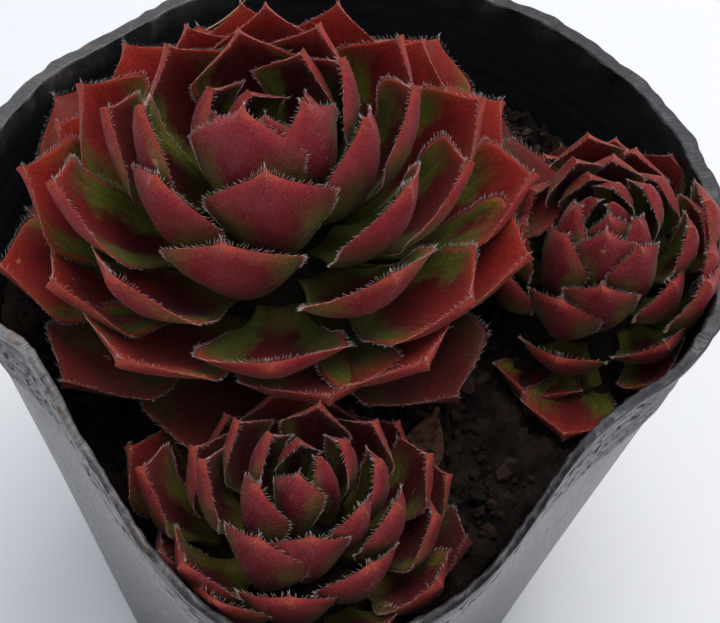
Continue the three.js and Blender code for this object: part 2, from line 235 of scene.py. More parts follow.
def turned_point(angle, radius, height):
    """A point round the pot's axis, which leans from the base's middle to the rim's."""
    angle, radius, height = np.broadcast_arrays(angle, radius, height)
    turn = np.radians(angle)
    return np.stack([radius * np.cos(turn) + RIM_SHIFT * height / POT_HEIGHT,
                     radius * np.sin(turn), height], -1)


def wave_noise(points, size, waves, seed):
    """Soft noise near -1..1: a sum of plane waves of about one size in random directions."""
    draw = np.random.default_rng(seed)
    total = 0.0
    for _ in range(waves):
        way = draw.normal(size=points.shape[-1])
        way *= 2 * np.pi / size * draw.uniform(0.6, 1.5) / np.linalg.norm(way)
        total = total + np.sin(points @ way + draw.uniform(0, 2 * np.pi))
    return total * math.sqrt(2 / waves)


def grid_faces(rows, columns):
    """Quads between rings of points: rows of them, each with so many points round it."""
    row, column = np.meshgrid(np.arange(rows - 1), np.arange(columns), indexing="ij")
    beside = (column + 1) % columns
    return np.stack([row * columns + column, row * columns + beside,
                     (row + 1) * columns + beside, (row + 1) * columns + column],
                    -1).reshape(-1, 4)


def closing_fans(rows, columns):
    """Triangles that close the first and last of such rings towards the two points after them."""
    first = np.arange(columns)
    second = (first + 1) % columns
    last = (rows - 1) * columns
    middle = np.full(columns, rows * columns)
    return [np.stack([second, first, middle], -1),
            np.stack([last + first, last + second, middle + 1], -1)]


def closed_tube(rows, columns):
    """Quads between such rings, and one flat face over each end."""
    end = np.arange(columns)[None]
    return [grid_faces(rows, columns), end[:, ::-1], (rows - 1) * columns + end]


def make_piece(name, points, blocks, finish, smooth=True, **values):
    """A mesh object at the world's origin from points in mm and blocks of faces, with one
    float attribute per named value, riding on the pot's body."""
    mesh = mesh_of(name, points, blocks)
    mesh.polygons.foreach_set("use_smooth", np.full(len(mesh.polygons), smooth))
    for label, value in values.items():
        attribute = mesh.attributes.new(label, "FLOAT", "POINT")
        attribute.data.foreach_set("value", np.asarray(value, np.float32).ravel())
    mesh.materials.append(finish)
    piece = bpy.data.objects.new(name, mesh)
    scene.collection.objects.link(piece)
    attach(piece, "root")
    return piece


def ring_profile():
    """The wall's outline as rows of (share of rim height, drop, radius added to the inside
    wall): up the outside over each rounded ring, over the lip and down the inside."""
    rows = [(0.0, 0.0, WALL - 1.4), (0.0, -0.25, WALL - 0.5), (0.0, -1.0, WALL)]
    rows += [(share, 0.0, WALL) for share in (0.1, 0.2, 0.3, 0.4, 0.5, 0.6, 0.68)]
    for drop in RING_DROPS[::-1]:
        for step in np.linspace(-1, 1, 9):
            proud = RING_PROUD * math.cos(0.5 * math.pi * step) ** 1.5
            rows.append((1.0, drop - step * RING_HALF, WALL + proud))
        groove = drop - 0.5 * RING_STEP
        rows += [(1.0, groove + 0.3, WALL), (1.0, groove, WALL - 0.14), (1.0, groove - 0.3, WALL)]
    rows += [(1.0, drop, radius) for drop, radius in (
        (LIP_DEPTH + 0.15, WALL), (LIP_DEPTH, WALL + 0.3), (LIP_DEPTH - 0.1, LIP_WIDTH - 0.35),
        (LIP_DEPTH - 0.4, LIP_WIDTH), (0.35, LIP_WIDTH), (0.08, LIP_WIDTH - 0.2),
        (0.0, LIP_WIDTH - 0.6), (0.1, 0.5 * LIP_WIDTH), (0.0, LIP_INNER_EDGE), (0.12, 0.08),
        (0.5, 0.0))]
    for drop in RING_DROPS:
        rows += [(1.0, drop - 0.6, 0.0), (1.0, drop, 0.12), (1.0, drop + 0.6, 0.0)]
    rows += [(share, 0.0, 0.0) for share in (0.8, 0.7, 0.6, 0.5, 0.4, 0.3, 0.2, 0.1)]
    rows += [(0.0, -FLOOR - 0.6, 0.0), (0.0, -FLOOR, -0.6)]
    return np.array(rows)


profile = ring_profile()
rows = len(profile)
added = profile[:, 2:3]
around = POT_SEAM + 360.0 * np.arange(POT_COLUMNS) / POT_COLUMNS
height = profile[:, :1] * rim_height(around) - profile[:, 1:2]
on_lip = added > WALL + RING_PROUD + 0.05
tuck = TUCK * bell(around, *TUCKED) * on_lip
radius = inner_radius(around, height) + added - tuck * (added - WALL)
wall = turned_point(around, radius, height)
outward = turned_point(around, 1.0, 0.0)

# The wall waves in and out near the rim, and up and down a little; the lip's inner edge is ragged.
near_rim = np.clip(1 - (POT_HEIGHT - height) / WAVY_DEPTH, 0, 1)
ripple = wave_noise(wall, *RIPPLE[1:])
crumple = wave_noise(wall, *CRUMPLE[1:])
wall = wall + (near_rim * (RIPPLE[0] * ripple + CRUMPLE[0] * crumple))[..., None] * outward
wall[..., 2] += near_rim * RIM_WAVE * (crumple - 0.5 * ripple)
wall[..., 2] = np.minimum(wall[..., 2], POT_HEIGHT)
edge = np.flatnonzero(profile[:, 2] == LIP_INNER_EDGE)[0]
by_edge = (np.abs(np.arange(rows) - edge) <= 1)[:, None]
ragged = by_edge * (RAG[0] * np.abs(wave_noise(wall, *RAG[1:])) + 0.1 * crumple)
wall = wall - ragged[..., None] * outward


def group(name, inputs, outputs):
    """An empty shader group with named value, vector or colour sockets, and its two ends."""
    kinds = {"value": "NodeSocketFloat", "vector": "NodeSocketVector", "colour": "NodeSocketColor"}
    tree = bpy.data.node_groups.new(name, "ShaderNodeTree")
    for label, kind in inputs.items():
        tree.interface.new_socket(label, in_out="INPUT", socket_type=kinds[kind])
    for label, kind in outputs.items():
        tree.interface.new_socket(label, in_out="OUTPUT", socket_type=kinds[kind])
    return tree, tree.nodes.new("NodeGroupInput"), tree.nodes.new("NodeGroupOutput")


def use(tree, shared, **sockets):
    """Places a shared group in a tree and feeds its sockets."""
    node = tree.nodes.new("ShaderNodeGroup")
    node.node_tree = shared
    feed(tree, node, **sockets)
    return node.outputs


def node_of(tree, kind, **sockets):
    """A new shader node of a kind, with its sockets fed."""
    node = tree.nodes.new("ShaderNode" + kind)
    feed(tree, node, **sockets)
    return node


def calc(tree, operation, first, second):
    node = node_of(tree, "Math")
    node.operation = operation
    plug(tree, node.inputs[0], first)
    plug(tree, node.inputs[1], second)
    return node.outputs[0]


def times(tree, *factors):
    return reduce(lambda first, second: calc(tree, "MULTIPLY", first, second), factors)


def plus(tree, *terms):
    return reduce(lambda first, second: calc(tree, "ADD", first, second), terms)


def between(tree, share, first, second):
    """Mixes two colours."""
    node = node_of(tree, "Mix")
    node.data_type = "RGBA"
    for place, value in ((0, share), (6, first), (7, second)):
        plug(tree, node.inputs[place], value)
    return node.outputs[2]


def fade(tree, value, low, high, bottom=0.0, top=1.0):
    """A smooth step of value: bottom below low, top above high."""
    node = node_of(tree, "MapRange", Value=value, From_Min=low, From_Max=high, To_Min=bottom,
                   To_Max=top)
    node.interpolation_type = "SMOOTHSTEP"
    return node.outputs[0]


def grain(tree, vector, size, detail=3.0, roughness=0.55):
    """Noise 0..1 with features of about size (mm) on coordinates in metres."""
    return node_of(tree, "TexNoise", Vector=vector, Scale=1.0 / (size * MM), Detail=detail,
                   Roughness=roughness).outputs[0]


def place_of(tree):
    return node_of(tree, "TexCoord").outputs["Object"]


def value_of(tree, label):
    node = node_of(tree, "Attribute")
    node.attribute_name = label
    return node.outputs["Fac"]


def stretched(tree, vector, scale):
    return node_of(tree, "Mapping", Vector=vector, Scale=scale).outputs[0]


def bumped(tree, shader, height, strength, distance):
    bump = node_of(tree, "Bump", Strength=strength, Distance=distance * MM, Height=height)
    feed(tree, shader, Normal=bump.outputs[0])


# Dust and dried mud: lays a pale film and brown patches on a colour where Amount is high.
DUST = (0.40, 0.39, 0.39)
DRIED_MUD = (0.15, 0.10, 0.065)
dusty, inward, outward_end = group(
    "dust_and_mud", {"Colour": "colour", "Place": "vector", "Amount": "value", "Mud": "value"},
    {"Colour": "colour", "Cover": "value"})
spot = inward.outputs["Place"]
fine = grain(dusty, spot, 0.5, 4.0, 0.7)
broad = grain(dusty, spot, 6.0, 3.0, 0.6)
film = times(dusty, fade(dusty, times(dusty, fine, broad), 0.12, 0.42), inward.outputs["Amount"])
patch = times(dusty, fade(dusty, grain(dusty, spot, 2.2, 5.0, 0.7), 0.5, 0.66),
              inward.outputs["Mud"])
filmed = between(dusty, film, inward.outputs["Colour"], DUST)
feed(dusty, outward_end, Colour=between(dusty, patch, filmed, DRIED_MUD),
     Cover=calc(dusty, "MAXIMUM", film, patch))

# The plastic: scratched along its girth, pitted round its rings and streaked below them.
BLACK_PLASTIC = (0.014, 0.015, 0.018)
# Pale grey of the scuffed front and lip, with a painted reflection of the pale room on the wall and
# painted highlights on the lip.
SCUFF_AND_REFLECTION_GREY = (0.36, 0.36, 0.37)
PIT_BLACK = (0.006, 0.006, 0.007)
pot_finish, tree, shader = finish_of("black_polypropylene", Specular_IOR_Level=0.70)
mapped = node_of(tree, "UVMap")
mapped.uv_map = "wall"
unrolled = mapped.outputs[0]
scratched = grain(tree, stretched(tree, unrolled, (0.12, 1.0, 1.0)), 0.7, 3.0, 0.6)
pits = grain(tree, stretched(tree, unrolled, (0.25, 1.0, 1.0)), 0.40, 1.0, 0.5)
runs = grain(tree, stretched(tree, unrolled, (1.0, 0.2, 1.0)), 0.6, 3.0, 0.6)
rings, scuffed_and_reflecting = value_of(tree, "ringed"), value_of(tree, "scuffed_and_reflecting")
# Scuffs and dust on the front and lip, painted pale also as a reflection on the wall and as highlights
# on the lip.
worn_and_reflecting = between(tree, times(tree, scuffed_and_reflecting, 0.55), BLACK_PLASTIC, SCUFF_AND_REFLECTION_GREY)
dust_and_reflection = plus(tree, times(tree, value_of(tree, "lip"), 0.05), times(tree, scuffed_and_reflecting, 0.75))
coat = use(tree, dusty, Colour=worn_and_reflecting, Place=place_of(tree), Mud=value_of(tree, "mud"), Amount=dust_and_reflection)
streaked = times(tree, fade(tree, runs, 0.50, 0.62), calc(tree, "SUBTRACT", 0.75, rings))
pitted = calc(tree, "MAXIMUM", times(tree, fade(tree, pits, 0.55, 0.62), rings), streaked)
# Pits and streaks show in the pale scuffing; the grooves between the rings are darker.
marked = calc(tree, "MAXIMUM", times(tree, pitted, scuffed_and_reflecting),
              times(tree, value_of(tree, "groove"), 0.9))
feed(tree, shader, Base_Color=between(tree, marked, coat["Colour"], PIT_BLACK),
     Roughness=plus(tree, 0.25, times(tree, coat["Cover"], 0.4), times(tree, scratched, 0.14)))
bumped(tree, shader, calc(tree, "SUBTRACT", times(tree, scratched, 0.35), pitted), 0.5, 0.12)

# Where each kind of wear, the darker grooves and the painted reflection lie, as a value for every
# point: below is the distance under the rim, and outside is true up to the lip's outer edge.
below = rim_height(around) - height
outside = np.arange(rows)[:, None] < np.argmax(added >= LIP_WIDTH - 0.4)
lip = np.clip(1 - below / LIP_DEPTH, 0, 1) ** 0.5
ringed = np.exp(-((below - PITTED_MIDDLE) / PITTED_HALF) ** 4) * outside
groove_wave = 0.5 + 0.5 * np.cos(2 * np.pi * (below - RING_DROPS[0] - 0.5 * RING_STEP) / RING_STEP)
wear = dict(
    lip=lip, ringed=ringed,
    mud=(bell(around, *MUDDY_LEFT) * (ringed + 0.6 * lip)
         + lip * (0.25 + 0.7 * bell(around, *MUDDY_LIP_BACK))),
    # Scuffed front and lip, also carrying the painted reflection and the painted highlights.
    scuffed_and_reflecting=(np.clip(1.4 * bell(around, *SCUFF_AND_REFLECTION_FRONT), 0, 1) * outside
            * np.clip((SCUFF_AND_REFLECTION_DOWN_TO - below) / SCUFF_AND_REFLECTION_FADE, 0, 1)
            + 0.6 * lip * (bell(around, *SCUFF_AND_HIGHLIGHT_LIP_LEFT) + 0.25 * bell(around, *SCUFF_AND_HIGHLIGHT_LIP_BACK))),
    groove=outside * groove_wave ** 1.2 * (below > GROOVED[0]) * (below < GROOVED[1]))
points = np.concatenate([wall.reshape(-1, 3), turned_point(0.0, 0.0, np.array([0.0, FLOOR]))])
pot = make_piece(
    "pot_wall", points, [grid_faces(rows, POT_COLUMNS)] + closing_fans(rows, POT_COLUMNS),
    pot_finish, **{label: np.append(value, (0, 0)) for label, value in wear.items()})

# The map unrolls the wall: along its girth, and along the outline from the underside inwards.
steps = np.linalg.norm(np.diff(np.stack([height, radius], -1), axis=0), axis=-1)
run = np.concatenate([np.zeros((1, POT_COLUMNS)), np.cumsum(steps, 0)])
corner_of = np.empty(len(pot.data.loops), np.int32)
pot.data.loops.foreach_get("vertex_index", corner_of)
column_of = corner_of % POT_COLUMNS
girth = 2 * np.pi * RIM_RADIUS / POT_COLUMNS * column_of
face_of = np.repeat(np.arange(len(pot.data.polygons)), [len(f.vertices) for f in pot.data.polygons])
crosses = np.zeros(len(pot.data.polygons), bool)
np.logical_or.at(crosses, face_of, column_of == POT_COLUMNS - 1)
girth = np.where(crosses[face_of] & (column_of == 0), 2 * np.pi * RIM_RADIUS, girth)
along = np.append(run.ravel(), [0.0, run.max()])[corner_of]
layer = pot.data.uv_layers.new(name="wall")
layer.data.foreach_set("uv", (np.stack([girth, along], -1) * MM).astype(np.float32).ravel())

# Drainage holes are punched through the floor.
corners = np.linspace(0, 360, DRILL_CORNERS, endpoint=False)
bit_points, bit_faces = [], []
for hole in range(DRAIN_HOLES):
    turn = 2 * math.pi * hole / DRAIN_HOLES
    bit = np.concatenate([turned_point(corners, DRAIN_RADIUS, level) for level in (-2.0, 4.0)])
    bit[:, :2] += DRAIN_CIRCLE * np.array([math.cos(turn), math.sin(turn)])
    bit_points.append(bit)
    bit_faces += [block + len(bit) * hole for block in closed_tube(2, DRILL_CORNERS)]
drill = mesh_of("drill_bits", np.concatenate(bit_points), bit_faces)
bits = bpy.data.objects.new("drill_bits", drill)
scene.collection.objects.link(bits)
punch = pot.modifiers.new("punch", "BOOLEAN")
punch.operation = "DIFFERENCE"
punch.object = bits
pot.data = bpy.data.meshes.new_from_object(pot.evaluated_get(bpy.context.evaluated_depsgraph_get()))
pot.modifiers.clear()
pot.data.name = "pot_wall"
bpy.data.objects.remove(bits)
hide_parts("pot")

# ---------------------------------------------------------------- soil
# Loose, dark peat compost with bits of bark and fibre, its colours painted darker still as shade
# inside the pot. It fills the pot to a thumb's width below the rim, and the stems are rooted in it.

SOIL_DEPTH = 17.0
SOIL_TOP = POT_HEIGHT - SOIL_DEPTH
SOIL_WAVE = 0.72
SOIL_ROOM = 0.72                   # clearance between the soil and the wall
SOIL_COLUMNS = 300
SOIL_RINGS = 70
EDGE_SUNK = 0.35
# Roughness of the surface as height in mm, size in mm, number of waves and seed.
SOIL_ROUGHNESS = ((0.55, 7.0, 16, 11), (0.45, 3.0, 24, 12), (0.28, 1.3, 30, 13))


def soil_height(x, y):
    """The surface's slow waves, x and y measured from the middle of the rim."""
    waves = (np.sin(x * 0.21 + 1.3) * np.cos(y * 0.19) + 0.6 * np.sin(x * 0.47 - y * 0.39)
             + 0.4 * np.cos(x * 0.83 + y * 0.71))
    return SOIL_TOP + SOIL_WAVE * waves


# Rings up the side of the soil, then rings over its top from the wall to the middle.
around = 360.0 * np.arange(SOIL_COLUMNS) / SOIL_COLUMNS
share = np.array([0.0, 0.12, 0.25, 0.4, 0.55, 0.7, 0.78])[:, None]
level = np.maximum(share * rim_height(around), FLOOR + 0.3)
side = turned_point(around, inner_radius(around, level) - SOIL_ROOM, level)
share = np.linspace(1.0, 0.02, SOIL_RINGS)[:, None]
level = SOIL_TOP - 1.0
top = turned_point(around, share * (inner_radius(around, level) - SOIL_ROOM), level)
top[..., 2] = soil_height(top[..., 0] - RIM_SHIFT, top[..., 1])
top[..., 2] += sum(tall * wave_noise(top[..., :2], *noise) for tall, *noise in SOIL_ROUGHNESS)
top[0, :, 2] -= EDGE_SUNK
bed = np.concatenate([side, top])
ends = np.array([[RIM_SHIFT * FLOOR / POT_HEIGHT, 0, FLOOR + 0.3], bed[-1].mean(0)])

# Peat colours, painted darker than peat's own as shade inside the pot.
SHADED_PEAT_BLACK = (0.007, 0.005, 0.004)
SHADED_PEAT_BROWN = (0.026, 0.013, 0.008)
SHADED_PEAT_FIBRE = (0.055, 0.030, 0.018)
shaded_peat_finish, tree, shader = finish_of("shaded_peat", Roughness=0.95, Specular_IOR_Level=0.25)
spot = place_of(tree)
broad = grain(tree, spot, 5.0, 4.0, 0.65)
fine = grain(tree, spot, 0.8, 4.0, 0.7)
shaded_peat = between(tree, fade(tree, broad, 0.35, 0.7), SHADED_PEAT_BLACK, SHADED_PEAT_BROWN)
feed(tree, shader, Base_Color=between(tree, fade(tree, fine, 0.55, 0.75), shaded_peat, SHADED_PEAT_FIBRE))
bumped(tree, shader, fine, 0.9, 0.5)
soil = make_piece("soil_bed", np.concatenate([bed.reshape(-1, 3), ends]),
                  [grid_faces(len(bed), SOIL_COLUMNS)] + closing_fans(len(bed), SOIL_COLUMNS),
                  shaded_peat_finish)
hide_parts("soil")

# Crumbs and bark chips are lumps of twenty faces, squashed and turned at random. Crumbs under the
# lowest leaf of the right rosette are pressed in.
CRUMBS = 5200
CHIPS = 260
CRUMB_SHAPE = np.array([1.0, 0.9, 0.75])
CHIP_SHAPE = np.array([1.3, 0.62, 0.24])
LOWEST_LEAF = (31.0, -27.0)
LOWEST_LEAF_REACH = 13.0
CRUMBS_SUNK = 1.6
GOLDEN = (1 + math.sqrt(5)) / 2
LUMP = np.array([(-1, GOLDEN, 0), (1, GOLDEN, 0), (-1, -GOLDEN, 0), (1, -GOLDEN, 0),
                 (0, -1, GOLDEN), (0, 1, GOLDEN), (0, -1, -GOLDEN), (0, 1, -GOLDEN),
                 (GOLDEN, 0, -1), (GOLDEN, 0, 1), (-GOLDEN, 0, -1), (-GOLDEN, 0, 1)]) / 1.9
LUMP_FACES = np.array([(0, 11, 5), (0, 5, 1), (0, 1, 7), (0, 7, 10), (0, 10, 11), (1, 5, 9),
                       (5, 11, 4), (11, 10, 2), (10, 7, 6), (7, 1, 8), (3, 9, 4), (3, 4, 2),
                       (3, 2, 6), (3, 6, 8), (3, 8, 9), (4, 9, 5), (2, 4, 11), (6, 2, 10),
                       (8, 6, 7), (9, 8, 1)])


def repeated(faces, each, count):
    """The faces of one shape, numbered on for count such shapes of so many points each."""
    return (faces[None] + each * np.arange(count)[:, None, None]).reshape(-1, faces.shape[1])


def turns(draw, count, tilt):
    """Random rotations: any turn about Z after a tilt of up to the given angle (radians)."""
    spin = draw.uniform(0, 2 * np.pi, count)
    lean = draw.uniform(-tilt, tilt, count)
    none, one = np.zeros(count), np.ones(count)
    about_z = (np.cos(spin), -np.sin(spin), none, np.sin(spin), np.cos(spin), none, none, none, one)
    about_x = (one, none, none, none, np.cos(lean), -np.sin(lean), none, np.sin(lean), np.cos(lean))
    return np.stack(about_z, -1).reshape(-1, 3, 3) @ np.stack(about_x, -1).reshape(-1, 3, 3)


def strewn(draw, count, edge=0.97):
    """Random places on the soil, from the middle to a share of the way to the wall."""
    angle = draw.uniform(0, 360, count)
    share = np.sqrt(draw.uniform(0, edge ** 2, count))
    reach = share * (inner_radius(angle, SOIL_TOP) - SOIL_ROOM - 1.0)
    place = turned_point(angle, reach, SOIL_TOP)
    place[:, 2] = soil_height(place[:, 0] - RIM_SHIFT, place[:, 1])
    return place


def lumps(draw, place, size, squash, tilt):
    """Lumps of the given half sizes (mm, one row each), knobbly by a random tenth or two."""
    count = len(place)
    knobs = draw.uniform(0.72, 1.2, (count, len(LUMP), 1))
    body = LUMP[None] * knobs * size[:, None, None] * squash
    return np.einsum("nij,nvj->nvi", turns(draw, count, tilt), body) + place[:, None]


draw = np.random.default_rng(31)
crumb_place = strewn(draw, CRUMBS)
crumb_size = np.exp(draw.normal(-0.75, 0.45, CRUMBS)).clip(0.2, 1.5)
crumb_place[:, 2] += draw.uniform(0.0, 0.9, CRUMBS)
beneath = np.hypot(crumb_place[:, 0] - RIM_SHIFT - LOWEST_LEAF[0],
                   crumb_place[:, 1] - LOWEST_LEAF[1]) < LOWEST_LEAF_REACH
crumb_place[:, 2] -= CRUMBS_SUNK * beneath
crumbs = lumps(draw, crumb_place, crumb_size, CRUMB_SHAPE, 1.5)
chip_place = strewn(draw, CHIPS, 0.93)
chip_size = draw.uniform(0.9, 2.6, CHIPS)
chip_place[:, 2] += 0.7
chips = lumps(draw, chip_place, chip_size, CHIP_SHAPE, 0.5)

LITTER_BROWNS = ((0.0, (0.006, 0.004, 0.003)), (0.55, (0.020, 0.011, 0.007)),
                 (0.85, (0.055, 0.026, 0.014)), (0.97, (0.090, 0.055, 0.034)))
LITTER_DARK = (0.005, 0.004, 0.003)
litter_finish, tree, shader = finish_of("crumbs_and_bark", Roughness=0.9, Specular_IOR_Level=0.3)
browns = node_of(tree, "ValToRGB", Fac=value_of(tree, "tone"))
for place, shade in LITTER_BROWNS:
    stop = browns.color_ramp.elements.new(place)
    stop.color = (*shade, 1)
browns.color_ramp.elements.remove(browns.color_ramp.elements[-1])
speck = grain(tree, place_of(tree), 0.5, 3.0, 0.6)
feed(tree, shader, Base_Color=between(
    tree, fade(tree, speck, 0.35, 0.75, 0.55, 0.0), browns.outputs[0], LITTER_DARK))
bumped(tree, shader, speck, 0.7, 0.25)
lump_points = np.concatenate([crumbs, chips])
tones = np.concatenate([draw.beta(1.4, 2.2, CRUMBS), draw.beta(2.4, 1.6, CHIPS)])
litter = make_piece("soil_litter", lump_points.reshape(-1, 3),
                    [repeated(LUMP_FACES, len(LUMP), len(lump_points))], litter_finish,
                    smooth=False, tone=np.repeat(tones, len(LUMP)))

# ---------------------------------------------------------------- rosettes
# Each houseleek is a tight spiral of fleshy leaves on a short, thick axis that is rooted in the
# soil. A leaf is broadest three quarters of the way out, has a hollow upper face, a keeled back
# and an abrupt point. Stiff white hairs fringe its margins, and short ones cover both faces.

ROOT_WIDTH = 0.34                  # a leaf's width at its root, as a share of its widest
WIDEST = 0.77                      # where along its length a leaf is widest
SHOULDER = 1.65                    # the higher, the longer the shoulders stay full
TIP_POWER = 1.6                    # above 1 the margins are hollow towards the point
WALL_ROOM = 1.2                    # leaf points are planned to stop this far short of the wall
WALL_TOUCH = 0.55                  # what is bent by the wall stays this far inside it
OVERHANG = 6.0                     # mm outwards for each mm above the rim's lip
STEM_SINK = 8.0

# Sizes in mm, angles in degrees. A rosette's own heights count from a level that is tips above
# the top of the pot. A stray turns one leaf, lengthens it and lifts its point. The value after
# stem is painted shade: 1 on the best lit rosette, lower on the two deeper in the pot, whose
# leaves are painted darker and duller.
ROSETTES = {
    "rosette_main": dict(
        middle=(-8.9, -5.0), tips=-0.5, lean=(3.1, -2.6), leaves=56, grown=49, turn=-137.65,
        phase=271.4, reach=42.4, reach_power=0.76, rise=27.0, rise_power=1.45, hollow=7.0,
        hollow_age=0.135, half_width=10.2, slim=0.18, thick=2.6, crowd=(-85.0, 0.12), bow=(0.44, 0.17),
        core=15.0, core_top=8.0, core_foot=-9.0, stem=5.0, unshaded=1.0,
        strays={4: (-22, 1.5, 0), 5: (11, -1, 2.5), 6: (-1, -2, -1), 8: (6, -4, 3.5),
                11: (-3, 1, 1), 12: (6, -0.5, 0), 13: (-9, -1, 1.5), 18: (7, 2.5, 0),
                21: (2, 1, -1), 23: (-1, 2, -1), 24: (-3, 3, 1.5), 26: (14, 4, -0.5),
                27: (3, 1, 0), 29: (-5, 3, 0.5), 31: (-4, 6, -4), 32: (0, 2.5, 1),
                34: (4, 2.5, -2), 39: (0, 2.5, -2.3), 40: (-5, -3, 1), 42: (-6, 0, 2.5),
                44: (3, -4, 2.5), 47: (3, -2.5, 1.5), 52: (-3, 0, -1), 53: (0, -4, -1.5)}),
    "rosette_right": dict(
        middle=(37.6, -5.6), tips=-9.0, lean=(12.0, -8.0), leaves=41, grown=39, turn=137.3,
        phase=6.4, reach=24.4, reach_power=0.93, rise=20.0, rise_power=1.3, hollow=3.6,
        hollow_age=0.13, half_width=6.5, slim=0.30, thick=2.4, crowd=(165.0, 0.3), bow=(0.28, 0.42),
        core=13.5, core_top=3.0, core_foot=-5.0, stem=3.1, unshaded=0.6,
        strays={5: (-13, 0.5, -0.5), 7: (22, -0.5, 0.5), 9: (-39, 0.5, 2), 12: (3, -2, 0),
                13: (-7, 2, -0.5), 14: (24, 1.5, -1.5), 16: (-4, -1, -0.5), 18: (-7, 0, -1),
                19: (-3, 1.5, 1.5), 20: (7, -0.5, 0), 23: (6, 3, -1), 24: (8, -1, 0),
                26: (-13, 6.5, -0.5), 29: (-18, 5, -1), 31: (-8, 2, -1.5), 33: (24, 3, -3),
                34: (-12, 4.5, -2), 36: (-15, 4.5, 1.5), 37: (11, -1, 0.5), 38: (69, 6, -3)}),
    "rosette_front": dict(
        middle=(-3.1, -48.4), tips=-9.5, lean=(-8.0, 3.0), leaves=36, grown=34, turn=137.95,
        phase=339.0, reach=21.8, reach_power=0.73, rise=15.0, rise_power=1.15, hollow=3.8,
        hollow_age=0.2, half_width=6.9, slim=0.30, thick=2.4, crowd=(90.0, 0.15), bow=(0.30, 0.38),
        core=12.2, core_top=0.0, core_foot=-5.5, stem=3.0, unshaded=0.0,
        strays={4: (-14, -0.5, 0.5), 5: (5, 3, -1.5), 6: (-4, 1, 1), 9: (12, 1.5, 0),
                10: (-4, 1, -1), 11: (-13, 1, -1), 12: (-7, 1.5, 1), 14: (0, 1, 1),
                15: (-1, -1, 0.5), 16: (-8, 2.5, -0.5), 20: (3, 2.5, -1.5), 21: (-4, 0.5, -1),
                23: (-8, -1, 0.5), 25: (-9, 1.5, 2.5), 26: (2, 1.5, 0), 30: (5, 3.5, 0.5),
                33: (-3, -1.5, 1.5), 34: (4, -2, 1.5), 35: (5, 1.5, 0.5)}),
}


def jitter(index, purpose):
    """A number from -1 to 1 that is always the same for one leaf and one purpose."""
    wave = np.sin((index + 1) * 12.9898 + purpose * 78.233) * 43758.5453
    return 2 * (wave - np.floor(wave)) - 1


def room_for(middle, azimuth, height):
    """How far a leaf can reach from a rosette's middle before its point meets the wall: the
    first half millimetre step that lies past the wall, which high points may overhang."""
    reach = np.arange(0, 110, 0.5)[None]
    turn = np.radians(azimuth)[:, None]
    x = middle[0] + reach * np.cos(turn)
    y = middle[1] + reach * np.sin(turn)
    limit = inner_radius(np.degrees(np.arctan2(y, x)), POT_HEIGHT) - WALL_ROOM
    limit = limit + np.clip(height, 0, 3.5)[:, None]
    return reach[0, np.argmax(np.hypot(x, y) > limit, axis=1)]


def root_outline(plant, spread):
    """Distance from the axis and height of a leaf's root, from the youngest at the top of the
    core (spread 0) to the oldest at its foot (spread 1)."""
    climb = (plant["core_top"] - plant["core_foot"]) * (1 - spread) ** 1.6
    return (0.12 + 0.85 * spread ** 0.8) * plant["core"], plant["core_foot"] + climb


def unit(ways):
    """Vectors brought to a length of 1."""
    return ways / (np.linalg.norm(ways, axis=-1, keepdims=True) + 1e-9)


def leaf_plan(plant):
    """Size and place of every leaf of a rosette, youngest first, one array entry per leaf. The
    points lie on a dome with a shallow hollow in its middle, each leaf a fixed turn from the
    last; leaves give way to a neighbour and to the wall, and rise where they do."""
    index = np.arange(plant["leaves"])
    age = (index + 0.5) / plant["grown"]
    spread = np.minimum(age, 1)
    stray = np.array([plant["strays"].get(leaf, (0, 0, 0)) for leaf in index], float)
    azimuth = plant["phase"] + plant["turn"] * index + 3 * jitter(index, 1) + stray[:, 0]
    side, share = plant["crowd"]
    give = share * np.maximum(0, np.cos(np.radians(azimuth - side))) ** 2 * spread
    wanted = (plant["reach"] * spread ** plant["reach_power"] * (1 - give)
              * (1 + 0.04 * jitter(index, 2)) + stray[:, 1])
    height = (plant["rise"] * (1 - age ** plant["rise_power"]) + 0.5 * jitter(index, 3)
              - plant["hollow"] * np.exp(-((age / plant["hollow_age"]) ** 1.5))
              + 0.25 * give * plant["reach"] + stray[:, 2])
    reach = np.minimum(wanted, room_for(plant["middle"], azimuth, plant["tips"] + height))
    root = np.stack(root_outline(plant, spread), -1)
    point = np.stack([reach, height + 0.8 * (wanted - reach)], -1)
    chord = point - root
    length = np.linalg.norm(chord, axis=1)
    inner, outer = plant["bow"]
    bow = (inner + (outer - inner) * spread) * (1 - 0.7 * np.clip((age - 0.75) / 0.25, 0, 1))
    bend = 0.5 * (root + point) + np.stack([chord[:, 1], -chord[:, 0]], -1) * bow[:, None]
    return dict(index=index, age=age, spread=spread, azimuth=np.radians(azimuth), root=root,
                bend=bend, point=point, length=length,
                half=np.minimum(plant["half_width"] * spread ** plant["slim"], 0.48 * length),
                thick=plant["thick"] * (0.75 + 0.25 * spread),
                cup=0.45 - 0.24 * np.sqrt(spread), roll=np.radians(7 * jitter(index, 4)))


def leaf_width(s):
    """Half width along a leaf as a share of its widest: a sine swell up to the widest place,
    then two shoulders that draw in hollow to the point."""
    swell = ROOT_WIDTH + (1 - ROOT_WIDTH) * np.sin(0.5 * np.pi * np.minimum(s, WIDEST) / WIDEST) ** 1.6
    tip = np.clip((s - WIDEST) / (1 - WIDEST), 0, 1)
    return np.where(s < WIDEST, swell, (1 - tip ** SHOULDER) ** TIP_POWER)


